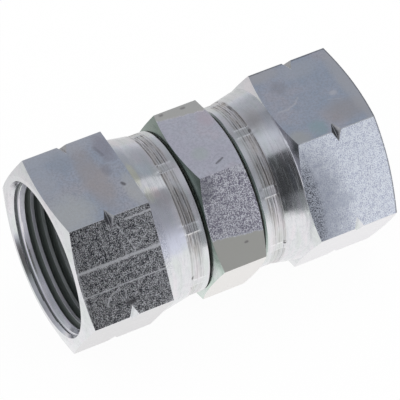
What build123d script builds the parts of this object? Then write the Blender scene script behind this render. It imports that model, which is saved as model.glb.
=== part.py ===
"""Swivel union for hydraulic lines: a hexagon body with a crimped swivel nut on each side.

Lengths are in millimetres and angles in degrees. The union's axis is X and +Z is up. The origin is on the axis,
halfway between the two mouths. The nuts lie on a flat of their hexagons. Angles round the axis are counted from
the front (-Y) towards the top.
"""
import os
from math import cos, radians, tan

from build123d import *

# Thread in the nuts: 1 5/16 inch, 12 turns to the inch, 60 degree flanks
thread_major_diameter = 33.34
thread_pitch = 25.4 / 12
thread_depth_per_pitch = 0.5413
thread_minor_allowance = 0.1         # the hole is this much over the basic minor radius
thread_length = 15.0                 # from the mouth to the last turn

# Nut, lengthwise: thread, pocket for the flange, crimped taper, crimped band
pocket_length = 5.2
taper_length = 5.05
band_length = 3.75
shoulder_length = 1.5                # from the taper to the hexagon's corners

# Nut, across
nut_wall = 2.33                      # outside the thread, at the flats
mouth_flare = 0.53                   # mouth over the thread's major radius
mouth_flare_angle = 22.5             # from the axis
mouth_face_inset = 0.7               # the end chamfer starts this far inside the flats
mouth_chamfer_angle = 15.0           # from the end face
left_shoulder_angle = 3.0            # from the end face
right_shoulder_angle = 20.0
notch_depth = 1.11                   # corner notch, below the corner
notch_half_angle = 45.0
pocket_relief = 0.08                 # pocket over the thread's major radius
skirt_under_flats = 0.05             # turned skirt inside the flats

# Crimp: the jaws press the skirt in and leave a fine rib between each two
crimp_depth = 1.3
crimp_step = 0.2                     # edge of the jaws, between taper and band
skirt_end_chamfer = 0.3
jaw_count = 8
rib_height = 0.15
rib_width = 0.5
right_rib_angle = -5.0
left_rib_angle = 9.0                 # counted before the left nut is turned to its side

# Body
body_under_nut = 2.0                 # its hexagon is this much smaller across flats
body_hexagon_length = 12.0
body_hexagon_turn = 2.4              # against the nuts
body_face_inset = 0.5                # the end chamfers start this far inside the flats
body_chamfer_angle = 20.0            # from the end face
neck_wall = 4.05                     # leaves a bore of 22 mm
seat_angle = 37.0                    # from the axis
nose_lip = 1.0                       # flat ring outside the seat
nose_chamfer = 0.4
nose_length = 2.6                    # ahead of the flange

# Clearances between body and nut
nut_to_hexagon = 0.8                 # axial
nose_to_thread = 0.4                 # radial, and axial behind the last turn
flange_to_pocket = 0.35              # radial
shoulder_to_taper = 0.2              # radial
neck_to_band = 0.4                   # radial

# Sizes that follow
flats = 6
thread_major_radius = thread_major_diameter / 2
thread_minor_radius = thread_major_radius - thread_depth_per_pitch * thread_pitch + thread_minor_allowance
mouth_radius = thread_major_radius + mouth_flare
nut_flat_radius = thread_major_radius + nut_wall
nut_corner_radius = nut_flat_radius / cos(radians(180 / flats))
body_flat_radius = nut_flat_radius - body_under_nut / 2
body_corner_radius = body_flat_radius / cos(radians(180 / flats))
skirt_radius = nut_flat_radius - skirt_under_flats
pocket_radius = thread_major_radius + pocket_relief
band_radius = skirt_radius - crimp_depth
band_inner_radius = pocket_radius - crimp_depth
taper_slope = crimp_depth / taper_length
neck_radius = band_inner_radius - neck_to_band
flange_radius = pocket_radius - flange_to_pocket
nose_radius = thread_minor_radius - nose_to_thread
seat_radius = nose_radius - nose_lip
bore_radius = neck_radius - neck_wall

# Stations along +X, from the middle outwards
body_face = body_hexagon_length / 2
skirt_end = body_face + nut_to_hexagon
band_end = skirt_end + band_length
taper_end = band_end + taper_length
hexagon_end = taper_end + shoulder_length
thread_end = taper_end + pocket_length
mouth = thread_end + thread_length
nose_end = thread_end - nose_to_thread
flange_front = nose_end - nose_length


def rise(angle, run):
    """The height that a slope at this angle reaches over this run."""
    return run * tan(radians(angle))


def turned(*points):
    """A solid of revolution about X from (x, radius) points, closed by a line back to the first."""
    return revolve(make_face(Polyline(*points, close=True)), Axis.X, 360)


def hexagon_bar(corner_radius, turn, start, end):
    """A hexagon bar along X from start to end, with a corner at the front."""
    section = Plane.YZ.offset(start) * RegularPolygon(corner_radius, flats, rotation=-turn)
    return extrude(section, end - start)


def nut_outside(shoulder_angle):
    """The turned outside of the nut: end chamfer, corner notches, shoulder, taper and crimped band."""
    over = nut_corner_radius + notch_depth
    chamfer_end = mouth - rise(mouth_chamfer_angle, nut_corner_radius - nut_flat_radius + mouth_face_inset)
    over_mouth = mouth - rise(mouth_chamfer_angle, over - nut_flat_radius + mouth_face_inset)
    shoulder = hexagon_end - rise(shoulder_angle, nut_corner_radius - skirt_radius)
    over_shoulder = hexagon_end + rise(shoulder_angle, over - nut_corner_radius)
    notch = (chamfer_end + hexagon_end) / 2
    notch_reach = rise(notch_half_angle, over - nut_corner_radius + notch_depth)
    return turned(
        (mouth, 0),
        (mouth, nut_flat_radius - mouth_face_inset),
        (over_mouth, over),
        (notch + notch_reach, over),
        (notch, nut_corner_radius - notch_depth),
        (notch - notch_reach, over),
        (over_shoulder, over),
        (shoulder, skirt_radius),
        (taper_end, skirt_radius),
        (band_end, band_radius + crimp_step),
        (band_end, band_radius),
        (skirt_end + skirt_end_chamfer, band_radius),
        (skirt_end, band_radius - skirt_end_chamfer),
        (skirt_end, 0),
    )


def nut_inside():
    """The space inside the nut: flared mouth, hole of the thread, flange pocket, taper and band."""
    flare_depth = (mouth_radius - thread_minor_radius) / tan(radians(mouth_flare_angle))
    pocket_start = thread_end - (pocket_radius - thread_minor_radius)
    return turned(
        (mouth, 0),
        (mouth, mouth_radius),
        (mouth - flare_depth, thread_minor_radius),
        (thread_end, thread_minor_radius),
        (pocket_start, pocket_radius),
        (taper_end, pocket_radius),
        (band_end, band_inner_radius),
        (skirt_end, band_inner_radius),
        (skirt_end, 0),
    )


def jaw_ribs(first_angle):
    """The fine ribs that the gaps between the jaws leave along the band."""
    length = band_length - skirt_end_chamfer
    outside = Pos(X=band_end - length / 2) * Box(
        length, 2 * (band_radius + rib_height), rib_width, align=(Align.CENTER, Align.MAX, Align.CENTER)
    )
    rib = outside & turned(
        (band_end, band_inner_radius),
        (band_end, band_radius + rib_height),
        (band_end - length, band_radius + rib_height),
        (band_end - length, band_inner_radius),
    )
    return [Rot(X=-first_angle - jaw * 360 / jaw_count) * rib for jaw in range(jaw_count)]


def swivel_nut(shoulder_angle, first_rib_angle):
    """A nut, on the +X side."""
    bar = hexagon_bar(nut_corner_radius, 0, skirt_end, mouth)
    return (nut_outside(shoulder_angle) & bar) + jaw_ribs(first_rib_angle) - nut_inside()


def body_hexagon():
    """The middle hexagon, with its corners chamfered at both ends."""
    chamfer_radius = body_flat_radius - body_face_inset
    corner_setback = rise(body_chamfer_angle, body_corner_radius - chamfer_radius)
    outside = turned(
        (-body_face, 0),
        (-body_face, chamfer_radius),
        (-body_face + corner_setback, body_corner_radius),
        (body_face - corner_setback, body_corner_radius),
        (body_face, chamfer_radius),
        (body_face, 0),
    )
    return hexagon_bar(body_corner_radius, body_hexagon_turn, -body_face, body_face) & outside


def body_spigot():
    """The end that the nut turns on, on the +X side: neck, sloped flange, nose and seat."""
    shoulder_start = band_end + (neck_radius + shoulder_to_taper - band_inner_radius) / taper_slope
    flange_start = band_end + (flange_radius + shoulder_to_taper - band_inner_radius) / taper_slope
    seat_depth = (seat_radius - bore_radius) / tan(radians(seat_angle))
    return turned(
        (0, bore_radius),
        (0, neck_radius),
        (shoulder_start, neck_radius),
        (flange_start, flange_radius),
        (flange_front, flange_radius),
        (flange_front, nose_radius),
        (nose_end - nose_chamfer, nose_radius),
        (nose_end, nose_radius - nose_chamfer),
        (nose_end, seat_radius),
        (nose_end - seat_depth, bore_radius),
    )


def union_body():
    """The one-piece body."""
    bore = turned((-body_face, 0), (-body_face, bore_radius), (body_face, bore_radius), (body_face, 0))
    spigot = body_spigot()
    return (body_hexagon() - bore) + spigot + Rot(Z=180) * spigot


parts = {
    "union_body": union_body(),
    "left_swivel_nut": Rot(Z=180) * swivel_nut(left_shoulder_angle, left_rib_angle),
    "right_swivel_nut": swivel_nut(right_shoulder_angle, right_rib_angle),
}

os.makedirs("parts", exist_ok=True)
for name, shape in parts.items():
    export_step(shape, f"parts/{name}.step")
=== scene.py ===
"""Looks of a swivel union for hydraulic lines: two crimped swivel nuts on a hexagon body, zinc plated.

Meshes are made in millimetres in the part's frame and brought to metres when they are finished. Angles
round the union's axis, called clock angles here, are in degrees from the front (-Y) towards the top (+Z).
"""

import logging
import random
from collections.abc import Callable, Iterable, Mapping, Sequence
from dataclasses import dataclass, replace
from enum import Enum
from functools import reduce
from math import atan2, cos, degrees, hypot, pi, radians, sin, tan

import bmesh
import bpy
from mathutils import Matrix, Vector

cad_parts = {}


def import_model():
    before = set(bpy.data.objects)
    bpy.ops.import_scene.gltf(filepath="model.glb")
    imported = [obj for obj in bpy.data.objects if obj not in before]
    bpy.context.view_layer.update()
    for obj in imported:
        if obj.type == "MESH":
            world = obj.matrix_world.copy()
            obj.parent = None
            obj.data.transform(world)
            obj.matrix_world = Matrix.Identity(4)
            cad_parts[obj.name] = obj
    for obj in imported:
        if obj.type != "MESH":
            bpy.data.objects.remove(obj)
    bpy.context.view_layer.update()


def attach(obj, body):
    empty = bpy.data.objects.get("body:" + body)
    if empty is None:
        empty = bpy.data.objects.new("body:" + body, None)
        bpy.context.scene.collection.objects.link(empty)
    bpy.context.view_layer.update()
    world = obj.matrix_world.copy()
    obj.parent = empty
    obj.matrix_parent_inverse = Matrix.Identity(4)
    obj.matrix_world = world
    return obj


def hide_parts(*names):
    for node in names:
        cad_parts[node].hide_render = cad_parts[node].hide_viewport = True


log = logging.getLogger("union")

MM = 0.001
FLATS = 6

Socket = bpy.types.NodeSocket
Point = tuple[float, float]
Colour = tuple[float, float, float]

# What the nuts' meshes and finishes share, in mm and degrees, on the +X side
MOUTH = 35.8
MOUTH_RADIUS = 17.2
FLARE_ANGLE = 22.5  # from the axis
FACE_RADIUS = 18.3  # of the flat face round the mouth
CHAMFER_ANGLE = 15.0  # from that face
MINOR_RADIUS = 15.624  # of the thread
JAWS = 8  # that crimped the skirt
HALF_GAP = 3.2  # between two of them

COOL: Colour = (0.97, 1.0, 1.075)  # tint of what the metal mirrors
PAINTED_GAP_SHADE: Colour = (0.03, 0.035, 0.03)  # painted shade inside the gap between a nut and the body
PAINTED_FACE_SHADE: Colour = (0.11, 0.13, 0.115)  # painted shade on the body's faces beside it
STAIN: Colour = (0.07, 0.07, 0.075)  # specks where a jaw's gap ended
WHITE: Colour = (1.0, 1.0, 1.0)


def outward(clock: float) -> Vector:
    """The direction away from the axis at a clock angle."""
    return Vector((0.0, -cos(radians(clock)), sin(radians(clock))))


def clock_of(place: Vector) -> float:
    """The clock angle of a place, from 0 to 360."""
    return degrees(atan2(place.z, -place.y)) % 360


def slope(angle: float) -> float:
    """The rise over a run of one at an angle in degrees."""
    return tan(radians(angle))


def add_object(name: str, data: bpy.types.ID) -> bpy.types.Object:
    """Adds an object to the scene."""
    made = bpy.data.objects.new(name, data)
    bpy.context.scene.collection.objects.link(made)
    return made


def mesh_data(name: str, mesh: bmesh.types.BMesh) -> bpy.types.Mesh:
    """Turns a mesh in the making into mesh data."""
    data = bpy.data.meshes.new(name)
    mesh.to_mesh(data)
    mesh.free()
    return data


# Shader nodes


def operator(operation: str, flipped: bool = False) -> Callable[..., "Number"]:
    """A method that adds a Math node.

    Args:
        operation: What the node does.
        flipped: Whether the method's own number comes last.

    Returns:
        The method.
    """

    def apply(*numbers: "Number | float") -> "Number":
        """Adds the node on these numbers."""
        return numbers[0].nodes.math(operation, *(reversed(numbers) if flipped else numbers))

    return apply


@dataclass(eq=False)
class Number:
    """A number inside a material. Python's operators on it add Math nodes."""

    nodes: "Nodes"
    socket: Socket

    __add__ = __radd__ = operator("ADD")
    __sub__ = operator("SUBTRACT")
    __rsub__ = operator("SUBTRACT", flipped=True)
    __mul__ = __rmul__ = operator("MULTIPLY")
    __truediv__ = operator("DIVIDE")
    __abs__ = operator("ABSOLUTE")
    at_least = operator("MAXIMUM")
    at_most = operator("MINIMUM")

    def rising(self, low: float, high: float) -> "Number":
        """A smooth step from 0 at low to 1 at high."""
        sockets = {"Value": self, "From Min": low, "From Max": high}
        made = self.nodes.node("ShaderNodeMapRange", sockets, interpolation_type="SMOOTHSTEP")
        return Number(self.nodes, made.outputs["Result"])

    def falling(self, low: float, high: float) -> "Number":
        """A smooth step from 1 at low to 0 at high."""
        return 1 - self.rising(low, high)


def flare_at(along: Number | float) -> Number | float:
    """The radius of the mouth's flare at a distance along the axis."""
    return (along - MOUTH) * slope(FLARE_ANGLE) + MOUTH_RADIUS


class Nodes:
    """A node tree and the few ways in which this script adds to it."""

    def __init__(self, owner: bpy.types.Material | bpy.types.World) -> None:
        """Empties the tree of a material or of the world."""
        owner.use_nodes = True
        self.tree = owner.node_tree
        self.tree.nodes.clear()

    def node(
        self, kind: str, sockets: Mapping[str | int, object] | None = None, **settings: object
    ) -> bpy.types.Node:
        """Adds a node.

        Args:
            kind: The node's type.
            sockets: Values or links for its inputs, by name or by number.
            settings: Its own settings, which are set first.

        Returns:
            The node.
        """
        made = self.tree.nodes.new(kind)
        for name, value in settings.items():
            setattr(made, name, value)
        for name, value in (sockets or {}).items():
            self.plug(made.inputs[name], value)
        return made

    def plug(self, target: Socket, value: object) -> None:
        """Links a socket or a number to an input, or sets the input's own value."""
        if isinstance(value, Number):
            value = value.socket
        if isinstance(value, Socket):
            self.tree.links.new(value, target)
        elif isinstance(value, tuple) and target.type == "RGBA":
            target.default_value = (*value, 1.0)
        else:
            target.default_value = value

    def math(self, operation: str, *values: Number | float) -> Number:
        """Adds a Math node on one or two numbers."""
        made = self.node("ShaderNodeMath", dict(enumerate(values)), operation=operation)
        return Number(self, made.outputs[0])

    def mix(self, share: Number | float, first: object, second: object) -> Socket:
        """Mixes two colours: the first at share 0, the second at share 1."""
        return self.node("ShaderNodeMix", {0: share, 6: first, 7: second}, data_type="RGBA").outputs[2]

    def ramp(self, value: Number, *stops: tuple[float, Colour]) -> Socket:
        """A colour that follows a value through the stops."""
        made = self.node("ShaderNodeValToRGB", {"Fac": value})
        elements = made.color_ramp.elements
        while len(elements) < len(stops):
            elements.new(1.0)
        for element, (where, colour) in zip(elements, stops):
            element.position = where
            element.color = (*colour, 1.0)
        return made.outputs["Color"]

    def noise(self, place: object, scale: float, detail: float = 2.0, roughness: float = 0.55) -> Number:
        """Noise from 0 to 1, with this many features to a unit of the place."""
        sockets = {"Vector": place, "Scale": scale, "Detail": detail, "Roughness": roughness}
        return Number(self, self.node("ShaderNodeTexNoise", sockets).outputs["Fac"])

    def vector(self, x: Number | float, y: Number | float, z: Number | float) -> Socket:
        """A vector from three numbers."""
        return self.node("ShaderNodeCombineXYZ", {"X": x, "Y": y, "Z": z}).outputs[0]

    def parts_of(self, vector: Socket) -> tuple[Number, Number, Number]:
        """The three numbers of a vector."""
        made = self.node("ShaderNodeSeparateXYZ", {"Vector": vector})
        return tuple(Number(self, out) for out in made.outputs)

    def place(self, clock: float = 0.0) -> Socket:
        """The place on the part in mm, turned about X so that this clock angle's flat lies in X and Z."""
        sockets = {
            "Vector": self.node("ShaderNodeTexCoord").outputs["Object"],
            "Rotation": (radians(clock), 0.0, 0.0), "Scale": (1 / MM, 1 / MM, 1 / MM),
        }
        return self.node("ShaderNodeMapping", sockets).outputs["Vector"]

    def around(self, place: Socket) -> tuple[Number, Number, Number]:
        """The distance along the axis, the distance from it and the clock angle of a place."""
        x, y, z = self.parts_of(place)
        return x, self.math("SQRT", y * y + z * z), self.math("DEGREES", self.math("ARCTAN2", z, y * -1.0))

    def ray_is(self, *kinds: str) -> Number:
        """1 for rays of any of these kinds, by their names in Light Path, and 0 for other rays."""
        path = self.node("ShaderNodeLightPath")
        return reduce(Number.at_least, (Number(self, path.outputs[kind]) for kind in kinds))

    def glow(self, colour: object) -> Socket:
        """Light of this colour at strength 1."""
        return self.node("ShaderNodeEmission", {"Color": colour, "Strength": 1.0}).outputs["Emission"]

    def show(self, surface: Socket) -> None:
        """Ends a material's tree."""
        self.node("ShaderNodeOutputMaterial", {"Surface": surface})


# Finishes


@dataclass
class Skin:
    """What a finish gives at each place of a surface."""

    colour: Socket | Colour
    roughness: Number | float
    height: Number
    metallic: Number | float = 1.0


@dataclass(frozen=True)
class Finish:
    """Zinc plate. Each kind of surface says what it looks like in its skin method."""

    name: str
    relief: float = 0.004  # height of the bump in mm

    def skin(self, nodes: Nodes) -> Skin:
        """What the surface looks like."""
        raise NotImplementedError

    def material(self) -> bpy.types.Material:
        """Makes the material."""
        made = bpy.data.materials.new(self.name)
        nodes = Nodes(made)
        skin = self.skin(nodes)
        bump = nodes.node("ShaderNodeBump", {"Distance": self.relief * MM, "Height": skin.height})
        sockets = {
            "Base Color": skin.colour, "Roughness": skin.roughness, "Metallic": skin.metallic,
            "Normal": bump.outputs["Normal"],
        }
        nodes.show(nodes.node("ShaderNodeBsdfPrincipled", sockets).outputs["BSDF"])
        return made


class Mark(Enum):
    """Kinds of marks on a flat."""

    RUBBED = (0.92, 0.92, 0.95)
    SCORED = (0.12, 0.11, 0.12)


@dataclass(frozen=True)
class Stroke:
    """A mark on a flat between two places, given as (x, height up the flat) in mm."""

    start: Point
    end: Point
    width: float
    kind: Mark = Mark.RUBBED
    strength: float = 1.0

    def mask(self, nodes: Nodes, x: Number, up: Number) -> Number:
        """1 on the mark and 0 away from it."""
        run = (self.end[0] - self.start[0], self.end[1] - self.start[1])
        length = run[0] ** 2 + run[1] ** 2
        dx, dy = x - self.start[0], up - self.start[1]
        along = ((dx * run[0] + dy * run[1]) / length).at_least(0.0).at_most(1.0)
        off_x, off_y = dx - along * run[0], dy - along * run[1]
        off = nodes.math("SQRT", off_x * off_x + off_y * off_y)
        return off.falling(self.width * 0.1, self.width * 0.7) * self.strength


@dataclass(frozen=True)
class Patch:
    """A ragged patch of another tint: its centre and half sizes, as (x, height up the flat) in mm.

    On a turned surface the second number is the clock angle.
    """

    centre: Point
    half: Point
    colour: Colour
    strength: float = 0.6
    edge: float = 1.0  # softness, as a share of the half sizes
    speckled: bool = False  # broken up into specks

    def mask(self, x: Number, up: Number, ragged: Number) -> Number:
        """1 inside the patch and 0 outside."""
        across = (x - self.centre[0]) / self.half[0]
        along = (up - self.centre[1]) / self.half[1]
        off = across * across + along * along + ragged
        return off.falling(1 - self.edge, 1 + self.edge) * self.strength


@dataclass(frozen=True)
class Film:
    """A dull film over the part of a flat beyond a slanted line."""

    height: float  # of its edge up the flat, at x = 0
    above: bool
    colour: Colour = (0.38, 0.38, 0.36)
    lean: float = -0.14  # rise of the edge over x
    blur: float = 0.35

    def mask(self, x: Number, up: Number, ragged: Number) -> Number:
        """1 under the film and 0 outside."""
        past = up - self.lean * x + ragged
        low, high = self.height - self.blur, self.height + self.blur
        return past.rising(low, high) if self.above else past.falling(low, high)


@dataclass(frozen=True)
class FlatFinish(Finish):
    """A rolled flat of a hexagon bar: clouded where it is smooth, speckled where its skin was rough."""

    clock: float = 90.0
    tones: tuple[Colour, Colour, Colour] = ((0.66, 0.74, 0.86), (0.71, 0.75, 0.83), (0.74, 0.73, 0.78))
    mottle: float = 0.3  # share of the fine mottling
    mottled: Colour = (0.46, 0.48, 0.52)
    grain: float = 0.0  # share of the speckle
    grain_scale: float = 4.1  # specks to a mm
    grain_low: Colour = (0.30, 0.30, 0.33)
    grain_high: Colour = (0.80, 0.80, 0.82)
    grain_bias: float = 0.0  # more is brighter
    sparkle: float = 0.0  # share of the painted glints, bright points in the speckle
    roughness: float = 0.30
    rim: float = 0.0  # share of the dark line along the mouth's chamfer
    rim_fade: Point = (0.12, 0.38)  # distances from the chamfer
    rim_colour: Colour = (0.16, 0.16, 0.18)
    films: tuple[Film, ...] = ()
    patches: tuple[Patch, ...] = ()
    strokes: tuple[Stroke, ...] = ()

    def skin(self, nodes: Nodes) -> Skin:
        """What the flat looks like."""
        place = nodes.place(self.clock)
        x, _, up = nodes.parts_of(place)
        broad = nodes.noise(place, 0.12, 3.0)
        cloud = nodes.noise(place, 0.55, 4.0, 0.65)
        specks = nodes.noise(place, self.grain_scale, 2.0, 0.85)
        mottle = nodes.noise(place, 2.2, 3.0, 0.7)
        clumps = nodes.noise(place, 1.0, 2.0)
        blotch = broad + 0.45 * (cloud - 0.5)
        colour = nodes.ramp(blotch, (0.38, self.tones[0]), (0.50, self.tones[1]), (0.62, self.tones[2]))
        colour = nodes.mix(0.35 * cloud.rising(0.42, 0.70), colour, self.tones[0])
        colour = nodes.mix(self.mottle * mottle.rising(0.38, 0.64), colour, self.mottled)
        bright = (specks + 0.3 * (clumps - 0.5) + self.grain_bias).rising(0.465, 0.545)
        speckle = nodes.mix(bright, self.grain_low, self.grain_high)
        share: Number | float = self.grain
        metallic: Number | float = 1.0
        roughness = self.roughness + 0.16 * (cloud - 0.5)
        for darkening in self.films:
            under = darkening.mask(x, up, 1.2 * (clumps - 0.5))
            share = (1 - under) * share
            colour = nodes.mix(under, colour, darkening.colour)
            metallic = metallic - 0.55 * under
            roughness = roughness + 0.2 * under
        colour = nodes.mix(share, colour, speckle)
        for patch in self.patches:
            mask = patch.mask(x, up, 1.8 * (cloud - 0.5))
            if patch.speckled:
                mask = mask * (1 - bright)
            colour = nodes.mix(mask, colour, patch.colour)
        # Painted glints: white points, made less metallic so that they show bright.
        if self.sparkle:
            points = nodes.noise(place, self.grain_scale, 1.0, 0.5).rising(0.66, 0.74) * share
            colour = nodes.mix(points * self.sparkle, colour, Mark.RUBBED.value)
            metallic = metallic - 0.7 * self.sparkle * points
        height = specks * share + cloud * 0.5
        for stroke in self.strokes:
            mark = stroke.mask(nodes, x + 0.5 * (clumps - 0.5), up + 0.5 * (cloud - 0.5))
            mark = mark * (0.6 + 0.7 * specks)
            colour = nodes.mix(mark, colour, stroke.kind.value)
            if stroke.kind is Mark.SCORED:
                height = height - 0.5 * mark
            else:
                metallic = metallic - 0.12 * self.grain * mark
        if self.rim:
            _, radius, _ = nodes.around(place)
            left_over = MOUTH - (radius - FACE_RADIUS) * slope(CHAMFER_ANGLE) - abs(x)
            mark = left_over.falling(*self.rim_fade) * mottle.rising(0.3, 0.5)
            colour = nodes.mix(mark * self.rim, colour, self.rim_colour)
        return Skin(colour, roughness, height, metallic)


@dataclass(frozen=True)
class TurnedFinish(Finish):
    """A turned surface: fine rings, faint streaks, and a slow drift of tints round it."""

    base: Colour = (0.77, 0.78, 0.80)
    tints: tuple[Colour, Colour] = ((0.72, 0.75, 0.74), (0.81, 0.78, 0.81))
    streak: Colour = (0.56, 0.56, 0.60)
    streaks: float = 0.45  # share of the streaks
    blotches: float = 0.0  # share of the small blotches
    roughness: float = 0.17
    metallic: float = 1.0
    ring_scale: float = 5.0  # rings to a mm
    stains_and_painted_light: tuple[Patch, ...] = ()

    def skin(self, nodes: Nodes) -> Skin:
        """What the turned surface looks like."""
        place = nodes.place()
        x, radius, clock = nodes.around(place)
        _, y, z = nodes.parts_of(place)
        rings = nodes.noise(nodes.vector(x, radius, 0.0), self.ring_scale, 2.0, 0.7)
        drift = nodes.noise(nodes.vector(x * 1.6, y * 0.35, z * 0.35), 0.4, 3.0)
        lines = nodes.noise(nodes.vector(x * 3.0, y * 0.12, z * 0.12), 1.0, 3.0, 0.7)
        smear = nodes.noise(place, 0.7, 4.0, 0.6)
        colour = nodes.ramp(drift, (0.36, self.tints[0]), (0.5, self.base), (0.64, self.tints[1]))
        worn = lines.rising(0.45, 0.75) * smear.rising(0.35, 0.65)
        colour = nodes.mix(worn * self.streaks, colour, self.streak)
        if self.blotches:
            blotch = nodes.noise(nodes.vector(x * 1.3, y * 0.8, z * 0.8), 1.1, 5.0, 0.7)
            colour = nodes.mix(blotch.rising(0.46, 0.62) * self.blotches, colour, self.streak)
        fine = nodes.noise(place, 4.5, 2.0)
        # Stains and other tone patches; on the right nut some are painted shade and a painted highlight.
        for tone_patch in self.stains_and_painted_light:
            mask = tone_patch.mask(x, clock, 2.2 * (smear - 0.5) + 1.4 * (lines - 0.5))
            if tone_patch.speckled:
                mask = mask * fine.rising(0.42, 0.58)
            colour = nodes.mix(mask, colour, tone_patch.colour)
        roughness = self.roughness + 0.14 * (smear - 0.5) + 0.08 * (rings - 0.5)
        roughness = roughness + self.streaks * 0.4 * lines.rising(0.5, 0.7)
        skin = Skin(colour, roughness, rings + 0.5 * smear, self.metallic)
        return self.worked(nodes, place, skin)

    def worked(self, nodes: Nodes, place: Socket, skin: Skin) -> Skin:
        """What later work left on the turned surface: nothing, unless a kind of finish says otherwise."""
        return skin


@dataclass(frozen=True)
class BandFinish(TurnedFinish):
    """The crimped band: dull in the jaws' prints, brownish in their grooves, clean between two jaws, with
    painted highlights on the burrs beside a gap.
    """

    # Each line's place along the axis, and how dark it is
    lines: tuple[Point, ...] = (
        (8.15, 0.5), (8.65, 1.0), (9.1, 0.45), (9.55, 1.0), (10.05, 0.6), (10.75, 1.0)
    )
    line_width: float = 0.24
    line_depth: float = 6.0  # against the height of the fine rings
    print_start: float = 7.8  # along the axis
    print_end: float = 11.05
    border_start: float = 7.6  # along the axis, of the fine burrs beside a gap
    border_width: float = 0.9  # in degrees
    painted_burr_highlight: Colour = (0.95, 0.95, 0.96)
    first_gap: float = 0.0  # clock angle of a gap between two jaws
    dull: Colour = (0.68, 0.65, 0.63)
    groove_line_tone: Colour = (0.10, 0.085, 0.08)

    def worked(self, nodes: Nodes, place: Socket, skin: Skin) -> Skin:
        """Adds the jaws' prints."""
        x, _, clock = nodes.around(place)
        _, y, z = nodes.parts_of(place)
        along = abs(x)
        ragged = nodes.noise(place, 1.1, 4.0, 0.65)
        drawn = nodes.noise(nodes.vector(x * 1.2, y * 0.22, z * 0.22), 1.0, 4.0, 0.6)
        off_gap = nodes.math("PINGPONG", clock - self.first_gap + 360, 180 / JAWS)
        beyond = off_gap + 1.5 * (ragged - 0.5) - HALF_GAP
        pressed = 0.4 + 0.6 * beyond.rising(-0.8, 0.8)
        # Painted light: the prints and the lines in the grooves fade low on the front.
        lit = 0.35 + 0.65 * clock.rising(10.0, 36.0)
        inside = (along + 0.5 * (ragged - 0.5)).rising(self.print_start - 0.3, self.print_start + 0.5)
        inside = inside * along.falling(self.print_end - 0.1, self.print_end + 0.15) * pressed
        colour = nodes.mix(inside * lit * (0.15 + 1.2 * drawn.rising(0.35, 0.7)), skin.colour, self.dull)
        worst: Number | float = 0.0
        for line, strength in self.lines:
            own = nodes.noise(nodes.vector(3.7 * line, y * 0.4, z * 0.4), 0.6, 4.0, 0.65)
            off = abs(along - line + 0.12 * (ragged - 0.5))
            drawn_line = off.falling(0.03, self.line_width) * (0.25 + 0.75 * own.rising(0.36, 0.56))
            worst = (drawn_line * strength).at_least(worst)
        # Dark lines along the jaws' grooves, fainter between two jaws.
        colour = nodes.mix(worst * pressed * lit * 0.75, colour, self.groove_line_tone)
        # Painted highlights: near-white lines along the burrs beside each gap.
        border = abs(beyond).falling(0.1, self.border_width)
        border = border * along.falling(self.print_end - 0.1, self.print_end)
        border = border * along.rising(self.border_start - 0.4, self.border_start + 0.4)
        colour = nodes.mix(border * drawn.rising(0.3, 0.55) * 0.75, colour, self.painted_burr_highlight)
        height = skin.height - self.line_depth * worst * pressed
        return Skin(colour, skin.roughness + 0.13 * inside, height)


@dataclass(frozen=True)
class ThreadFinish(TurnedFinish):
    """The inside of a nut: light on the flare and the thread's crests, with painted shade in the grooves
    between them and further in.
    """

    base: Colour = (0.58, 0.58, 0.65)
    tints: tuple[Colour, Colour] = ((0.54, 0.56, 0.58), (0.64, 0.62, 0.70))
    roughness: float = 0.34
    # Painted shade: the first colour in the thread's grooves, the second further in from the mouth.
    deep: Colour = (0.085, 0.10, 0.095)
    inner: Colour = (0.20, 0.23, 0.21)
    inner_fade: Point = (28.6, 31.3)  # along the axis, where the painted shade further in ends

    def worked(self, nodes: Nodes, place: Socket, skin: Skin) -> Skin:
        """Paints shade into the grooves by their depth, and over the whole inside away from the mouth."""
        x, radius, _ = nodes.around(place)
        flare = flare_at(abs(x))
        depth = radius - flare.at_least(MINOR_RADIUS)
        ragged = nodes.noise(place, 0.8, 3.0)
        # Painted shade in the grooves, darker the deeper they are, and along the run-in line on the flare.
        dark = (depth + 0.03 + 0.06 * (ragged - 0.5)).rising(0.0, 0.16)
        on_flare = flare.rising(MINOR_RADIUS + 0.7, MINOR_RADIUS + 0.8)
        run_in = (radius - flare).rising(0.14, 0.24) * on_flare
        dark = (dark * (1 - on_flare)).at_least(0.9 * run_in)
        inner = abs(x).falling(*self.inner_fade)
        colour = nodes.mix(0.7 * inner, skin.colour, self.inner)
        colour = nodes.mix(dark, colour, self.deep)
        return Skin(colour, skin.roughness + 0.15 * dark, skin.height, 0.65 - 0.35 * dark)


@dataclass(frozen=True)
class DarkerAboveFinish(TurnedFinish):
    """A turned or cut face under a darker tone that fades out towards its underside."""

    darkening: Colour = (0.10, 0.10, 0.11)
    share: float = 0.75
    fade: Point = (2.0, 6.0)  # heights above the axis, from none of the darker tone to all of it
    ragged_scale: float = 1.5
    wander: float = 0.0  # of the film's edge, in mm
    uneven: float = 0.5  # of its share
    rougher: float = 0.1

    def worked(self, nodes: Nodes, place: Socket, skin: Skin) -> Skin:
        """Adds the darker tone."""
        _, _, z = nodes.parts_of(place)
        ragged = nodes.noise(place, self.ragged_scale, 3.0) - 0.5
        darkening = (z + self.wander * ragged).rising(*self.fade) * (self.share + self.uneven * ragged)
        colour = nodes.mix(darkening, skin.colour, self.darkening)
        return Skin(colour, skin.roughness + self.rougher * darkening, skin.height)


# The bore: its near-black colour is painted shade deep inside the body.
BORE = TurnedFinish(
    "body_bore", base=(0.14, 0.16, 0.15), tints=((0.10, 0.13, 0.11), (0.18, 0.18, 0.17)), roughness=0.42
)
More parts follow.
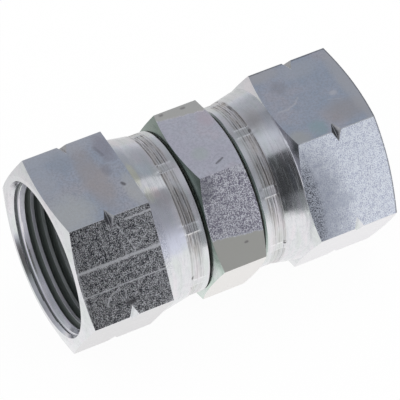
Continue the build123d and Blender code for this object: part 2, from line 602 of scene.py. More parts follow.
# The neck lies deep in the gap: its near-black colour is painted shade.
NECK = replace(
    BORE, name="body_neck", relief=0.0005, base=PAINTED_GAP_SHADE, tints=(PAINTED_GAP_SHADE, PAINTED_GAP_SHADE), streaks=0.0, roughness=0.5
)
GAP = TurnedFinish(
    "gap", relief=0.001, base=(0.36, 0.40, 0.37), tints=((0.30, 0.35, 0.32), (0.42, 0.44, 0.42)),
    roughness=0.45, metallic=0.2,
)
# The body's end chamfers: pale green low down, dark green higher up
CHAMFER = DarkerAboveFinish(
    "body_chamfer", relief=0.003, base=(0.62, 0.70, 0.66),
    tints=((0.56, 0.67, 0.60), (0.72, 0.75, 0.73)), roughness=0.24, darkening=(0.10, 0.15, 0.12),
    fade=(-2.0, 7.0), ragged_scale=0.6, wander=8.0, uneven=0.0, rougher=0.0,
)


# Meshes


class Workpiece:
    """A mesh in the making, in millimetres, about the X axis."""

    SHARP = 14.0  # edges with a larger angle, in degrees, stay sharp
    WELD = 2e-4

    def __init__(self) -> None:
        """Starts an empty workpiece."""
        self.mesh = bmesh.new()

    def turn(self, profile: Sequence[Point], steps: int, closed: bool = False, advance: float = 0.0) -> list:
        """Spins a profile round the axis.

        Args:
            profile: (x, radius) points.
            steps: Steps in the full turn.
            closed: Whether the last point joins the first.
            advance: How far the profile moves along the axis in the full turn.

        Returns:
            The new vertices.
        """
        before = set(self.mesh.verts)
        points = [self.mesh.verts.new((x, radius, 0.0)) for x, radius in profile]
        pairs = list(zip(points, points[1:])) + ([(points[-1], points[0])] if closed else [])
        edges = [self.mesh.edges.new(pair) for pair in pairs]
        bmesh.ops.spin(
            self.mesh, geom=points + edges, cent=(0.0, 0.0, 0.0), axis=(1.0, 0.0, 0.0),
            dvec=(advance / steps, 0.0, 0.0), angle=2 * pi, steps=steps, use_merge=advance == 0.0,
            use_duplicate=False,
        )
        return [v for v in self.mesh.verts if v not in before]

    def press(self, verts: Iterable, depth: Callable[[float, float, float], float]) -> None:
        """Moves vertices towards or away from the axis.

        Args:
            verts: The vertices.
            depth: The new radius from x, radius and clock angle.
        """
        for vert in verts:
            radius = hypot(vert.co.y, vert.co.z)
            wanted = depth(vert.co.x, radius, clock_of(vert.co))
            vert.co.y *= wanted / radius
            vert.co.z *= wanted / radius

    def cut(self, place: Vector, towards: Vector) -> list:
        """Cuts off what lies beyond a plane, and returns the edges along the cut."""
        everything = self.mesh.verts[:] + self.mesh.edges[:] + self.mesh.faces[:]
        made = bmesh.ops.bisect_plane(
            self.mesh, geom=everything, dist=1e-5, plane_co=place, plane_no=towards, clear_outer=True,
            clear_inner=False,
        )
        return [piece for piece in made["geom_cut"] if isinstance(piece, bmesh.types.BMEdge)]

    def mill_flats(self, reach: float, first: float, edge: float) -> None:
        """Mills six flats and breaks the edges between them.

        Args:
            reach: From the axis to a flat.
            first: Clock angle of the first flat.
            edge: Width of the broken edge.
        """
        for flat in range(FLATS):
            away = outward(first + flat * 360 / FLATS)
            rim = self.cut(away * reach, away)
            bmesh.ops.holes_fill(self.mesh, edges=rim, sides=0)
        self.mesh.normal_update()
        corners = [
            e
            for e in self.mesh.edges
            if len(e.link_faces) == 2
            and all(self.is_flat(f, reach) for f in e.link_faces)
            and e.calc_face_angle() > radians(40)
        ]
        bmesh.ops.bevel(
            self.mesh, geom=corners, offset=edge, offset_type="OFFSET", affect="EDGES", segments=2,
            profile=0.5, material=-1,
        )

    @staticmethod
    def is_flat(face: bmesh.types.BMFace, reach: float) -> bool:
        """Whether a face is one of the flats at this distance from the axis."""
        return abs(face.normal.x) < 0.01 and abs(abs(face.verts[0].co.dot(face.normal)) - reach) < 0.01

    def ring(self, x: float, low: float, high: float) -> None:
        """Closes the flat ring between the open edges at x whose radius is from low to high."""
        rim = [
            e
            for e in self.mesh.edges
            if e.is_boundary
            and all(abs(v.co.x - x) < 0.001 and low < hypot(v.co.y, v.co.z) < high for v in e.verts)
        ]
        bmesh.ops.triangle_fill(self.mesh, use_beauty=True, edges=rim, normal=(1.0, 0.0, 0.0))

    def weld(self) -> None:
        """Joins what lies together and turns the faces outwards."""
        bmesh.ops.remove_doubles(self.mesh, verts=self.mesh.verts, dist=self.WELD)
        bmesh.ops.recalc_face_normals(self.mesh, faces=self.mesh.faces)

    def finish(
        self,
        name: str,
        turned_round: bool,
        dress: Callable[[bmesh.types.BMFace], int],
        finishes: Iterable[Finish],
    ) -> bpy.types.Object:
        """Makes the object, in metres.

        Args:
            name: The object's name.
            turned_round: Whether the piece is turned to the -X side.
            dress: Gives the number of the finish for a face, in the part's frame.
            finishes: What the piece is finished with.

        Returns:
            The object, at the origin.
        """
        if turned_round:
            bmesh.ops.rotate(
                self.mesh, cent=(0, 0, 0), matrix=Matrix.Rotation(pi, 3, "Z"), verts=self.mesh.verts
            )
        self.mesh.normal_update()
        for face in self.mesh.faces:
            face.smooth = True
            face.material_index = dress(face)
        for edge in self.mesh.edges:
            edge.smooth = len(edge.link_faces) == 2 and edge.calc_face_angle() < radians(self.SHARP)
        loose = sum(not e.is_manifold for e in self.mesh.edges)
        bmesh.ops.scale(self.mesh, vec=(MM, MM, MM), verts=self.mesh.verts)
        data = mesh_data(name, self.mesh)
        for own in finishes:
            data.materials.append(own.material())
        triangles = sum(len(p.vertices) - 2 for p in data.polygons)
        log.info("%s: %d triangles, %d open edges", name, triangles, loose)
        return add_object(name, data)


@dataclass(frozen=True)
class Thread:
    """The inch thread in a nut."""

    minor: float = MINOR_RADIUS
    major: float = 16.67
    pitch: float = 25.4 / 12
    crest: float = 0.645  # flat at the minor radius
    flank_angle: float = 30.0
    crest_at: float = 31.25  # x of a crest at the clock angle below, on the +X side
    crest_clock: float = -42.0
    start: float = 19.4
    end: float = MOUTH
    steps: int = 144

    def profile(self) -> list[Point]:
        """The thread's profile from beyond one end to beyond the other, at the clock angle 180."""
        flank = (self.major - self.minor) * slope(self.flank_angle)
        root = self.pitch - self.crest - 2 * flank
        wave: list[Point] = []
        for length, low, high, parts in (
            (self.crest, self.minor, self.minor, 4), (flank, self.minor, self.major, 5),
            (root, self.major, self.major, 2), (flank, self.major, self.minor, 5),
        ):
            begin = wave[-1][0] + last if wave else -self.crest / 2
            last = length / parts
            wave += [(begin + last * n, low + (high - low) * n / parts) for n in range(parts)]
        turned = (180 - self.crest_clock) % 360
        first = self.crest_at - self.pitch * turned / 360
        turns = range(int((self.start - first) / self.pitch) - 2, int((self.end - first) / self.pitch) + 2)
        return [(first + turn * self.pitch + along, radius) for turn in turns for along, radius in wave]


class Flat(Enum):
    """The flats of a hexagon by clock angle."""

    TOP = 90
    FRONT = 30
    FRONT_LOW = 330
    BOTTOM = 270
    BACK_LOW = 210
    BACK = 150

    @classmethod
    def number(cls, normal: Vector) -> int:
        """The place in this list of the flat that faces this way."""
        return list(cls).index(min(cls, key=lambda flat: -normal.dot(outward(flat.value))))


@dataclass
class SwivelNut:
    """A swivel nut: hexagon with notched corners, crimped skirt and inner thread."""

    name: str
    node: str
    body: str
    left: bool
    shoulder_angle: float
    rib_clock: float  # of the first gap between the jaws, in the part's frame
    taper: tuple[Point, ...]
    flats: Mapping[Flat, FlatFinish]
    stains_and_painted_light: tuple[Patch, ...] = ()
    band_stains: tuple[Patch, ...] = ()
    blotches: float = 0.25
    seed: int = 1
    thread: Thread = Thread()
    flat_reach: float = 19.0
    corner: float = 21.939
    over: float = 23.049
    notch_bottom: float = 20.829
    notch_round: float = 0.04  # half the notch's rounded bottom, and how far it lies up
    notch_rise: float = 0.016
    hexagon_end: float = 17.1
    taper_end: float = 15.6
    band_end: float = 10.55
    skirt_end: float = 6.55
    skirt_radius: float = 18.95
    band_radius: float = 17.65
    band_step: float = 0.1  # between the rings of the band's mesh
    crimp_step: float = 0.2
    step_run: float = 0.03
    edge_run: float = 0.5  # of the jaws' print on the taper, and how far it has risen there
    edge_rise: float = 0.105
    end_chamfer: float = 0.1
    band_inner: float = 15.45
    pocket_radius: float = 16.75
    thread_end: float = 20.8
    run_in: float = 0.9  # from the mouth to where the thread starts to mark the flare
    run_in_depth: float = 0.28
    broken_edge: float = 0.09
    grooves: tuple[float, ...] = (8.65, 9.5, 10.05)
    groove_width: float = 0.42
    groove_depth: float = 0.07
    nick_depth: float = 0.16  # of the nicks beside a gap, in the crimp's edge
    gap_rise: float = 0.03  # of the skirt in the gap between two jaws, and of the burrs beside it
    burr_rise: float = 0.08
    steps: int = 360

    def outside(self) -> list[Point]:
        """The turned outside and the plain inside, from the mouth's face round to the pocket."""
        chamfer = slope(CHAMFER_ANGLE)
        chamfer_end = MOUTH - chamfer * (self.corner - FACE_RADIUS)
        over_mouth = MOUTH - chamfer * (self.over - FACE_RADIUS)
        shoulder = slope(self.shoulder_angle)
        notch = (chamfer_end + self.hexagon_end) / 2
        reach = self.over - self.notch_bottom
        band_start = self.skirt_end + self.end_chamfer
        rows = range(1, int((self.band_end - band_start) / self.band_step))
        return [
            (MOUTH, FACE_RADIUS),
            (over_mouth, self.over),
            (notch + reach, self.over),
            (notch + self.notch_round, self.notch_bottom + self.notch_rise),
            (notch - self.notch_round, self.notch_bottom + self.notch_rise),
            (notch - reach, self.over),
            (self.hexagon_end + shoulder * (self.over - self.corner), self.over),
            (self.hexagon_end - shoulder * (self.corner - self.skirt_radius), self.skirt_radius),
            *self.taper,
            (self.band_end + self.edge_run, self.band_radius + self.crimp_step + self.edge_rise),
            (self.band_end, self.band_radius + self.crimp_step),
            (self.band_end - self.step_run, self.band_radius),
            *((self.band_end - self.band_step * row, self.band_radius) for row in rows),
            (band_start, self.band_radius),
            (self.skirt_end, self.band_radius - self.end_chamfer),
            (self.skirt_end, self.band_inner),
            (self.band_end, self.band_inner),
            (self.taper_end, self.pocket_radius),
            (self.thread.start, self.pocket_radius + 0.1),
        ]

    def crimped(self, x: float, radius: float, clock: float) -> float:
        """The radius that the jaws leave at a place on the outside."""
        inside = radius < self.band_radius - 0.05
        if inside or not self.skirt_end + self.end_chamfer - 0.01 <= x <= self.band_end + 0.6:
            return radius
        part_clock = (180 - clock) % 360 if self.left else clock
        sector = 360 / JAWS
        jaw, off = divmod(part_clock - self.rib_clock + sector / 2, sector)
        past_gap = abs(off - sector / 2) - HALF_GAP
        chance = random.Random(self.seed * 100 + int(jaw) % JAWS)
        deep = self.groove_depth * chance.uniform(0.6, 1.1)
        shift = chance.uniform(-0.08, 0.08)
        in_jaw = min(1.0, max(0.0, past_gap))
        on_edge = max(0.0, 1 - abs(past_gap))
        if x > self.band_end - 0.04:
            nick = max(0.0, 1 - abs(past_gap) / 1.6) * max(0.0, 1 - abs(x - self.band_end) / 0.45)
            return radius - self.nick_depth * nick
        offsets = (abs(x - groove - shift) / (self.groove_width / 2) for groove in self.grooves)
        groove = sum(0.5 + 0.5 * cos(pi * min(1.0, off)) for off in offsets)
        reach = min(1.0, max(0.0, (x - self.skirt_end - 0.5) / 0.8))
        raised = self.gap_rise * (1 - in_jaw) + self.burr_rise * on_edge
        return radius - in_jaw * deep * groove + reach * raised

    def bored(self, x: float, radius: float, clock: float) -> float:
        """The radius of the thread where flare, relief and pocket cut into it."""
        flare = flare_at(x)
        relief = min(self.pocket_radius, self.thread.minor + self.thread_end - x)
        share = (radius - self.thread.minor) / (self.thread.major - self.thread.minor)
        if x < MOUTH - self.run_in:
            flare += self.run_in_depth * max(0.0, 2 * share - 1)
        return max(radius, flare, relief)

    def build(self) -> bpy.types.Object:
        """Makes the nut's mesh and dresses it."""
        piece = Workpiece()
        outside = piece.turn(self.outside(), self.steps)
        piece.press(outside, self.crimped)
        piece.mill_flats(self.flat_reach, Flat.TOP.value, self.broken_edge)
        inside = Workpiece()
        inside.turn(self.thread.profile(), self.thread.steps, advance=self.thread.pitch)
        inside.weld()
        inside.press(inside.mesh.verts, self.bored)
        inside.cut(Vector((MOUTH, 0, 0)), Vector((1, 0, 0)))
        inside.cut(Vector((self.thread.start, 0, 0)), Vector((-1, 0, 0)))
        carried = mesh_data("carried", inside.mesh)
        piece.mesh.from_mesh(carried)
        bpy.data.meshes.remove(carried)
        piece.ring(MOUTH, MOUTH_RADIUS - 0.1, FACE_RADIUS + 0.1)
        piece.ring(self.thread.start, self.pocket_radius - 0.1, self.pocket_radius + 0.2)
        piece.weld()
        return piece.finish(self.name, self.left, self.finish_of, self.finishes())

    def finishes(self) -> list[Finish]:
        """The nut's finishes, in the order of finish_of's numbers."""
        side = self.name.split("_")[0]
        return [
            TurnedFinish(f"{side}_nut_turned", relief=0.0025, stains_and_painted_light=self.stains_and_painted_light, blotches=self.blotches),
            BandFinish(
                f"{side}_nut_crimp", roughness=0.2, first_gap=self.rib_clock, stains_and_painted_light=self.band_stains
            ),
            ThreadFinish(f"{side}_nut_thread", relief=0.002),
            # The notches' facets: painted shade, dark on the facets that face +X, lighter on those that face
            # -X, and only high up.
            DarkerAboveFinish(f"{side}_nut_notch_left", relief=0.003, darkening=(0.30, 0.30, 0.31)),
            DarkerAboveFinish(f"{side}_nut_notch_right", relief=0.003),
            replace(GAP, name=f"{side}_nut_gap"),
            *(self.flats[flat] for flat in Flat),
        ]

    def finish_of(self, face: bmesh.types.BMFace) -> int:
        """The number of the finish of a face."""
        centre = face.calc_center_median()
        along, radius = abs(centre.x), hypot(centre.y, centre.z)
        if Workpiece.is_flat(face, self.flat_reach):
            return 6 + Flat.number(face.normal)
        if radius > self.flat_reach + 0.5 and 0.6 < abs(face.normal.x) < 0.8:
            return 3 if face.normal.x < 0 else 4
        inward = centre.y * face.normal.y + centre.z * face.normal.z < 0
        if inward and radius < self.pocket_radius + 0.01 and along < MOUTH - 2.2:
            return 2
        if inward and along > self.thread_end and flare_at(along) + 0.1 < radius < MOUTH_RADIUS:
            return 2
        if not inward and along < self.band_end + 0.55 and radius > self.band_radius - 0.4:
            return 1
        return 5 if along < self.skirt_end + 0.01 else 0


@dataclass
class UnionBody:
    """The body: middle hexagon, necks, flanges, noses with their seats, and the bore."""

    flats: Mapping[Flat, FlatFinish]
    name: str = "union_body_piece"
    node: str = "union_body"
    body: str = "body"
    half: float = 6.0
    face_radius: float = 17.5
    corner: float = 20.785
    corner_end: float = 4.804
    flat_reach: float = 18.0
    hexagon_turn: float = 2.4
    neck: float = 15.05
    shoulder_start: float = 9.774
    flange_start: float = 15.018
    flange: float = 16.4
    flange_front: float = 17.8
    nose: float = 15.224
    nose_end: float = 20.4
    nose_chamfer: float = 0.4
    seat: float = 14.224
    bore: float = 11.0
    seat_depth: float = 4.279
    broken_edge: float = 0.09
    steps: int = 240

    def profile(self) -> list[Point]:
        """The body's closed profile."""
        right = [
            (self.corner_end, self.corner), (self.half, self.face_radius), (self.half, self.neck),
            (self.shoulder_start, self.neck), (self.flange_start, self.flange),
            (self.flange_front, self.flange), (self.flange_front, self.nose),
            (self.nose_end - self.nose_chamfer, self.nose),
            (self.nose_end, self.nose - self.nose_chamfer), (self.nose_end, self.seat),
            (self.nose_end - self.seat_depth, self.bore),
        ]
        return [(-x, radius) for x, radius in reversed(right)] + right

    def build(self) -> bpy.types.Object:
        """Makes the body's mesh and dresses it."""
        piece = Workpiece()
        piece.turn(self.profile(), self.steps, closed=True)
        piece.mill_flats(self.flat_reach, Flat.TOP.value + self.hexagon_turn, self.broken_edge)
        piece.weld()
        return piece.finish(self.name, False, self.finish_of, self.finishes())

    def finishes(self) -> list[Finish]:
        """The body's finishes, in the order of finish_of's numbers."""
        return [
            CHAMFER,
            NECK,
            BORE,
            # The body's end faces in the gap: their dark colour is painted shade.
            replace(GAP, name="body_gap", base=PAINTED_FACE_SHADE, tints=(PAINTED_FACE_SHADE, PAINTED_FACE_SHADE)),
            TurnedFinish("body_seat", relief=0.001, roughness=0.25),
            *(self.flats[flat] for flat in Flat),
        ]

    def finish_of(self, face: bmesh.types.BMFace) -> int:
        """The number of the finish of a face."""
        centre = face.calc_center_median()
        along, radius = abs(centre.x), hypot(centre.y, centre.z)
        if Workpiece.is_flat(face, self.flat_reach):
            return 5 + Flat.number(face.normal)
        if radius < self.bore + 0.05:
            return 2
        if radius < self.seat + 0.1 or along > self.flange_front - 0.01:
            return 4
        if abs(along - self.half) < 0.01:
            return 3
        return 1 if along > self.half else 0


# Studio


@dataclass(frozen=True)
class Card:
    """A card beside the object that only mirrors in it: centre, size, and levels below and at the top."""

    name: str
    centre: tuple[float, float, float]
    width: float
    height: float
    level: float
    top_level: float


@dataclass(frozen=True)
class SoftBox:
    """A rectangular lamp: its direction from the object, distance, size and level of its face."""

    name: str
    azimuth: float
    elevation: float
    distance: float
    size: float
    level: float


@dataclass
class Studio:
    """White surroundings, a pale floor, soft boxes, cards that mirror in the metal, and the camera."""

    floor_height: float = -19.0
    floor_size: float = 6000.0
    floor_glow: float = 0.95  # share of the floor's own white against its lit colour
    floor_far: float = 0.66  # level of the floor behind the object, as the metal mirrors it
    floor_near: float = 0.97  # and in front of it
    floor_fade: Point = (-20.0, 90.0)  # y in mm, from the near level to the far one
    # Elevation and level of what the metal mirrors
    sky: tuple[Point, ...] = (
        (-5, 0.90), (0, 0.72), (8, 0.58), (18, 0.48), (34, 0.44), (42, 0.425),
        (48, 0.375), (55, 0.33), (65, 0.42), (75, 0.54), (83, 0.62),
    )
    camera_azimuth: float = -27.34
    camera_elevation: float = 48.05
    camera_distance: float = 757.4
    aim: tuple[float, float, float] = (0.2, 0.0, 0.0)
    lens: float = 327.7
    dark_azimuth: float = -26.0
    dark_elevation: float = 36.0
    dark_radius: float = 24.0
    dark_level: float = 0.12
    boxes: tuple[SoftBox, ...] = (
        SoftBox("side_box", 100, 53, 420, 130, 0.42), SoftBox("left_box", -88, 24, 420, 220, 0.3)
    )
    cards: tuple[Card, ...] = (
        Card("dark_card", (-2.5, -140, 207), 69, 425, 0.05, 0.05),
        Card("grey_card", (28, -139, 14), 34, 68, 0.32, 0.32),
        Card("pale_card", (118, -140, 40), 110, 110, 0.84, 0.45),
    )

    @staticmethod
    def towards(azimuth: float, elevation: float) -> Vector:
        """The direction from the object at this azimuth and elevation, azimuth 0 being the front."""
        flat = cos(radians(elevation))
        return Vector(
            (sin(radians(azimuth)) * flat, -cos(radians(azimuth)) * flat, sin(radians(elevation)))
        )

    def build(self) -> None:
        """Makes the world, the floor, the lamps, the cards and the camera."""
        self.make_world()
        self.make_floor()
        for box in self.boxes:
            self.make_box(box)
        for card in self.cards:
            self.make_card(card)
        self.make_camera()

    @staticmethod
    def cool(level: float) -> Colour:
        """The tint of what the metal mirrors, at a level."""
        return tuple(tint * level for tint in COOL)

    def make_world(self) -> None:
        """A white background, even light for the floor, and a soft grey room for the metal to mirror."""
        world = bpy.data.worlds.new("studio")
        bpy.context.scene.world = world
        nodes = Nodes(world)
        world.cycles.sampling_method = "NONE"
        direction = nodes.node("ShaderNodeTexCoord").outputs["Generated"]
        _, _, z = nodes.parts_of(direction)
        levels = ((0.5 + 0.5 * sin(radians(up)), self.cool(level)) for up, level in self.sky)
        room = nodes.ramp(z * 0.5 + 0.5, *levels)
        middle = tuple(self.towards(self.dark_azimuth, self.dark_elevation))
        near = nodes.node("ShaderNodeVectorMath", {0: direction, 1: middle}, operation="DOT_PRODUCT")
        edges = (cos(radians(self.dark_radius + blur)) for blur in (9, -9))
        dark = Number(nodes, near.outputs["Value"]).rising(*edges)
        room = nodes.mix(dark, room, (self.dark_level,) * 3)
        seen = nodes.mix(nodes.ray_is("Is Glossy Ray", "Is Transmission Ray"), WHITE, room)
        back = nodes.node("ShaderNodeBackground", {"Color": seen, "Strength": 1.0})
        nodes.node("ShaderNodeOutputWorld", {"Surface": back.outputs["Background"]})

    def make_floor(self) -> None:
        """The pale floor. It glows white where it is seen or mirrored, and keeps the object's shadow."""
        mesh = bmesh.new()
        bmesh.ops.create_grid(mesh, x_segments=1, y_segments=1, size=self.floor_size * MM / 2)
        bmesh.ops.translate(mesh, vec=(0.0, 0.0, self.floor_height * MM), verts=mesh.verts)
        material = bpy.data.materials.new("floor_white")
        nodes = Nodes(material)
        mirrored = nodes.ray_is("Is Glossy Ray", "Is Transmission Ray")
        seen = nodes.ray_is("Is Camera Ray", "Is Glossy Ray", "Is Transmission Ray")
        _, y, _ = nodes.parts_of(nodes.place())
        level = nodes.mix(y.rising(*self.floor_fade), (self.floor_near,) * 3, (self.floor_far,) * 3)
        lit = nodes.node("ShaderNodeBsdfDiffuse", {"Color": (0.97, 0.97, 0.97)}).outputs["BSDF"]
        glow = nodes.glow(nodes.mix(mirrored, WHITE, level))
        sockets = {0: seen * self.floor_glow, 1: lit, 2: glow}
        nodes.show(nodes.node("ShaderNodeMixShader", sockets).outputs["Shader"])
        self.stand("floor", mesh, material)

    def stand(self, name: str, mesh: bmesh.types.BMesh, material: bpy.types.Material) -> bpy.types.Object:
        """Makes a stage object from a mesh in metres."""
        material.cycles.emission_sampling = "NONE"
        data = mesh_data(name, mesh)
        data.materials.append(material)
        made = add_object(name, data)
        return made

    def aim_at(
        self, name: str, data: bpy.types.ID, azimuth: float, elevation: float, place: Vector, distance: float
    ) -> bpy.types.Object:
        """Sets up a lamp or the camera, looking at a place from this direction and distance."""
        made = add_object(name, data)
        away = self.towards(azimuth, elevation)
        made.location = (place + away * distance) * MM
        made.rotation_mode = "QUATERNION"
        made.rotation_quaternion = (-away).to_track_quat("-Z", "Y")
        return made

    def make_box(self, box: SoftBox) -> None:
        """Hangs a soft box, facing the object."""
        data = bpy.data.lights.new(box.name, "AREA")
        data.shape = "SQUARE"
        data.size = box.size * MM
        data.energy = box.level * pi * (box.size * MM) ** 2
        lamp = self.aim_at(box.name, data, box.azimuth, box.elevation, Vector(), box.distance)
        lamp.visible_camera = False

    def make_card(self, card: Card) -> None:
        """Stands a card, which shows only in reflections."""
        mesh = bmesh.new()
        bmesh.ops.create_grid(mesh, x_segments=1, y_segments=1, size=0.5)
        bmesh.ops.scale(mesh, vec=(card.width * MM, card.height * MM, 1.0), verts=mesh.verts)
        bmesh.ops.rotate(mesh, cent=(0, 0, 0), matrix=Matrix.Rotation(pi / 2, 3, "X"), verts=mesh.verts)
        bmesh.ops.translate(mesh, vec=Vector(card.centre) * MM, verts=mesh.verts)
        material = bpy.data.materials.new(card.name)
        nodes = Nodes(material)
        _, _, z = nodes.parts_of(nodes.place())
        up = z.rising(card.centre[2] - card.height / 4, card.centre[2] + card.height / 2)
        nodes.show(nodes.glow(nodes.mix(up, self.cool(card.level), self.cool(card.top_level))))
        made = self.stand(card.name, mesh, material)
        made.visible_camera = made.visible_diffuse = made.visible_shadow = False

    def make_camera(self) -> None:
        """Sets up the camera at the photograph's angle."""
        data = bpy.data.cameras.new("camera")
        data.lens = self.lens
        data.sensor_width = 36.0
        data.clip_start = 0.01
        data.clip_end = 100.0
        view = (self.camera_azimuth, self.camera_elevation, Vector(self.aim), self.camera_distance)
        bpy.context.scene.camera = self.aim_at("camera", data, *view)


# The object's flats, and main


def flats_of(
    side: str, low: Colour, top: FlatFinish, front: FlatFinish, turn: float = 0.0
) -> dict[Flat, FlatFinish]:
    """Finishes for a hexagon. The flats that the photograph doesn't show are smooth and speckled by turns.

    Args:
        side: Which piece they are on, for their names.
        low: Tone of the lower front flat.
        top: Finish of the top flat.
        front: Finish of the front flat.
        turn: How far the piece's hexagon is turned.

    Returns:
        The finishes.
    """
    made = {}
    for number, flat in enumerate(Flat):
        grain, relief = (0.8, 0.012) if number % 2 else (0.0, 0.006)
        name = f"{side}_flat_{flat.name.lower()}"
        made[flat] = FlatFinish(name, clock=flat.value + turn, grain=grain, relief=relief)
    made[Flat.FRONT_LOW] = replace(made[Flat.FRONT_LOW], tones=(low, low, low), mottled=low)
    for flat, own in ((Flat.TOP, top), (Flat.FRONT, front)):
        made[flat] = replace(own, name=made[flat].name, clock=made[flat].clock)
    return made


LEFT_TOP = FlatFinish(
    "left_top",
    relief=0.006,
    tones=((0.64, 0.71, 0.83), (0.71, 0.75, 0.85), (0.77, 0.76, 0.81)),
    mottle=0.5,
    patches=(
        Patch((-24, 0), (2.4, 9), (0.68, 0.61, 0.58)),
        Patch((-32.5, -7), (5, 5), (0.92, 0.91, 0.84)),
        Patch((-18, -6.5), (1.8, 4.6), (0.92, 0.90, 0.84)),
        Patch((-28, 10.5), (9, 2.4), (0.82, 0.84, 0.88), 0.5),
        Patch((-18.6, 6.5), (1.7, 3.6), (0.50, 0.45, 0.50), 0.5),
        Patch((-20.8, 1), (0.9, 1.6), (0.46, 0.44, 0.48), 0.5),
        Patch((-33.5, 4), (2.4, 6), (0.74, 0.78, 0.84), 0.5),
        Patch((-28.5, 7), (2.2, 3), (0.56, 0.62, 0.70), 0.5),
    ),
    strokes=(
        Stroke((-19.5, -3.8), (-19.2, -4.3), 1.7, Mark.RUBBED, 0.3),
        Stroke((-19.5, -3.8), (-19.2, -4.3), 0.9, Mark.SCORED, 0.75),
        Stroke((-20.2, 7.4), (-19.6, 4.8), 0.8, Mark.SCORED, 0.25),
    ),
)
LEFT_FRONT = FlatFinish(
    "left_front",
    relief=0.02,
    sparkle=0.9,
    grain=1.0,
    grain_low=(0.06, 0.06, 0.07),
    grain_high=(0.98, 0.98, 1.0),
    grain_bias=-0.01,
    patches=(Patch((-29, -7.8), (5, 1.3), (0.10, 0.10, 0.11), 0.7, 0.7, speckled=True),),
    strokes=(
        Stroke((-36, 1.7), (-16.5, 1.7), 0.85),
        Stroke((-36, -3.6), (-16.5, -3.6), 0.42, strength=0.9),
        Stroke((-22.8, 9.4), (-17, 9.4), 0.6),
        Stroke((-24.8, 8.6), (-22.2, 2.6), 0.38, strength=0.7),
        Stroke((-22.2, 2.6), (-19, 5), 0.35, strength=0.6),
        Stroke((-22, 6.5), (-20.5, 6.1), 0.4, strength=0.6),
        Stroke((-27.6, -4), (-30.2, -5.3), 0.38, strength=0.8),
        Stroke((-30.2, -5.3), (-31, -7), 0.45),
        Stroke((-26.6, -7.8), (-25.4, -7.8), 1.2, Mark.SCORED, 0.8),
        Stroke((-35.3, -11), (-35.3, 11), 0.35, strength=0.8),
    ),
)
RIGHT_TOP = FlatFinish(
    "right_top",
    relief=0.006,
    rim=0.7,
    tones=((0.60, 0.68, 0.80), (0.67, 0.72, 0.83), (0.74, 0.73, 0.80)),
    mottle=0.42,
    patches=(
        Patch((30.5, -6.5), (4.8, 3), (0.62, 0.57, 0.55)),
        Patch((23, -8.5), (1.8, 2), (0.50, 0.68, 0.70)),
        Patch((21, 5), (1.7, 1.7), (0.50, 0.50, 0.54), 0.5),
        Patch((30.5, -1.3), (0.8, 0.7), (0.86, 0.86, 0.90), 0.7),
        Patch((27, 8), (4, 2.5), (0.76, 0.77, 0.81), 0.5),
        Patch((35, 0), (2.2, 12), (0.76, 0.75, 0.76), 0.7),
        Patch((19, 10), (4, 2.2), (0.76, 0.74, 0.74), 0.7),
        Patch((18, -9.5), (2.5, 2), (0.72, 0.72, 0.68), 0.7),
    ),
    strokes=(
        Stroke((18, -1.2), (20, -1.3), 0.6, strength=0.45),
        Stroke((20, -1.3), (22, -0.5), 0.5, strength=0.5),
        Stroke((22, -0.5), (23.3, 0.8), 0.5, strength=0.4),
        Stroke((28.5, -2.5), (31, -3.5), 0.3, strength=0.35),
        Stroke((17, 10.8), (35, 10.8), 0.5, Mark.SCORED, 0.6),
    ),
)
RIGHT_FRONT = FlatFinish(
    "right_front",
    relief=0.018,
    sparkle=0.3,
    tones=((0.79, 0.85, 0.99), (0.83, 0.87, 1.0), (0.87, 0.89, 0.99)),
    grain=0.85,
    grain_low=(0.50, 0.515, 0.62),
    grain_high=(0.96, 0.99, 1.0),
    grain_bias=0.03,
    patches=(
        # Painted shade at the flat's inner end by the shoulder: a dark patch and black specks.
        Patch((16, -3), (8, 12), (0.31, 0.33, 0.39), 0.72),
        Patch((16.9, -3), (2, 9), (0.05, 0.05, 0.06), 1, speckled=True),
        Patch((24, -4), (2.4, 1.4), (0.50, 0.53, 0.60), 0.5),
    ),
    rim=0.8,
)
BODY_TOP = FlatFinish(
    "body_top",
    relief=0.005,
    tones=((0.86, 0.84, 0.93), (0.88, 0.88, 0.96), (0.92, 0.86, 0.93)),
    films=(Film(7.6, above=True, colour=(0.44, 0.44, 0.43)),),
    patches=(
        Patch((-1.5, -4), (1.8, 1.8), (0.72, 0.82, 0.74), 0.5),
        Patch((4, 4.5), (1.6, 2.2), (0.88, 0.74, 0.80), 0.5),
    ),
    strokes=(
        Stroke((0.2, -8), (2, -7.2), 0.5, Mark.SCORED, 0.7),
        Stroke((-3.7, 9.7), (-3.3, 9.7), 0.8, Mark.SCORED, 0.6),
        Stroke((1.2, 9.5), (1.7, 9.5), 0.7, Mark.SCORED, 0.6),
    ),
)
BODY_FRONT = FlatFinish(
    "body_front",
    relief=0.022,
    sparkle=0.35,
    grain=1.0,
    grain_low=(0.27, 0.25, 0.32),
    grain_high=(0.93, 0.92, 0.96),
    films=(Film(-3.8, above=False),),
    patches=(
        Patch((4, 10), (1.8, 1.2), (0.86, 0.86, 0.90), 0.5),
        Patch((-4.5, 8), (2, 3), (0.24, 0.24, 0.27), 0.5),
    ),
    strokes=(Stroke((1.2, -5.8), (1.6, -5.8), 0.6, Mark.SCORED, 0.7),),
)


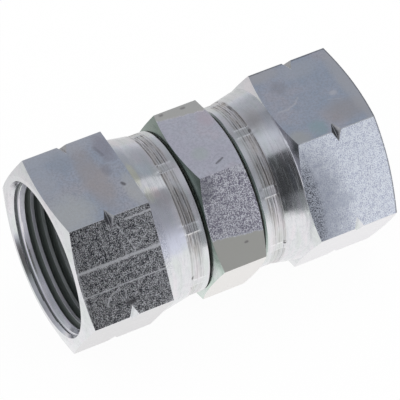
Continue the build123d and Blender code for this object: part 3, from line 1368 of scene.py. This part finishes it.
def nuts() -> tuple[SwivelNut, SwivelNut]:
    """The two nuts."""
    left = SwivelNut(
        "left_nut_piece",
        "left_swivel_nut",
        "left_nut",
        left=True,
        shoulder_angle=3.0,
        rib_clock=36.0,
        taper=((16.6, 18.89), (15.6, 18.71), (14.0, 18.44), (12.5, 18.185)),
        flats=flats_of("left_nut", (0.71, 0.70, 0.71), LEFT_TOP, LEFT_FRONT),
        stains_and_painted_light=(
            Patch((-14.5, 51), (2.6, 10), (0.58, 0.57, 0.64), 0.6),
            Patch((-14, 33), (3.2, 10), (0.74, 0.74, 0.83), 0.75),
            Patch((-16.2, 32), (1, 18), (0.45, 0.46, 0.52), 0.8, speckled=True),
            Patch((-16.3, 92), (1, 30), (0.58, 0.60, 0.64), 0.7),
            Patch((-16.3, 82), (0.8, 9), (0.84, 0.84, 0.66), 0.7),
            Patch((-15.2, 66), (0.9, 5), (0.82, 0.83, 0.66), 0.5),
            Patch((-13.5, 84), (1.6, 6), (0.70, 0.80, 0.86), 0.6),
            Patch((-12.6, 60), (2, 6), (0.58, 0.55, 0.56), 0.5),
            Patch((-14, 66), (1, 4), (0.88, 0.74, 0.74), 0.5),
            Patch((-12.5, 95), (2, 10), (0.62, 0.62, 0.66), 0.5),
        ),
        band_stains=(
            Patch((-10.75, 84.5), (0.25, 1.8), STAIN, 0.9),
            Patch((-10.7, 77.5), (0.25, 1.5), STAIN, 0.9),
            Patch((-10.6, 112), (0.3, 5), STAIN, 0.8),
            Patch((-10.7, -2), (0.3, 1.5), STAIN, 0.9),
        ),
        seed=3,
    )
    right = SwivelNut(
        "right_nut_piece",
        "right_swivel_nut",
        "right_nut",
        left=False,
        shoulder_angle=20.0,
        rib_clock=40.0,
        end_chamfer=0.3,
        taper=((15.2, 18.80), (14.0, 18.58), (12.6, 18.29)),
        flats=flats_of("right_nut", (0.83, 0.82, 0.84), RIGHT_TOP, RIGHT_FRONT),
        stains_and_painted_light=(
            Patch((15.2, 82), (1.4, 12), (0.56, 0.58, 0.64), 0.6),
            Patch((12.5, 92), (1.6, 9), (0.62, 0.58, 0.58), 0.6),
            Patch((13.5, 74), (2, 4), (0.84, 0.86, 0.90), 0.5),
            Patch((14.5, 44), (0.5, 9), (0.86, 0.90, 1), 0.5),
            # Painted shade at the foot of the shoulder: a dark strip beside the flat.
            Patch((16.5, 56), (0.8, 32), (0.26, 0.25, 0.29), 0.85),
            # Painted highlight: a bright thin line at the end of the taper.
            Patch((15.9, 50), (0.22, 24), (0.97, 0.97, 1), 0.9, 0.6),
        ),
        band_stains=(
            Patch((10.7, 84), (0.3, 1.5), STAIN, 0.8),
            Patch((10.6, 112), (0.3, 4), STAIN, 0.8),
            Patch((10.7, -2), (0.35, 1.6), STAIN, 0.9),
        ),
        seed=8,
    )
    return left, right


def main() -> None:
    """Builds the union and the studio, and reports each piece."""
    logging.basicConfig(level=logging.INFO, format="%(message)s")
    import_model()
    bpy.context.scene.view_settings.view_transform = "Standard"
    Studio().build()
    body_flats = flats_of("body", (0.82, 0.80, 0.78), BODY_TOP, BODY_FRONT, turn=2.4)
    for maker in (UnionBody(body_flats), *nuts()):
        piece = maker.build()
        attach(piece, maker.body)
        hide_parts(maker.node)
        log.info("%s rides on %s", piece.name, maker.body)


if __name__ == "__main__":
    main()
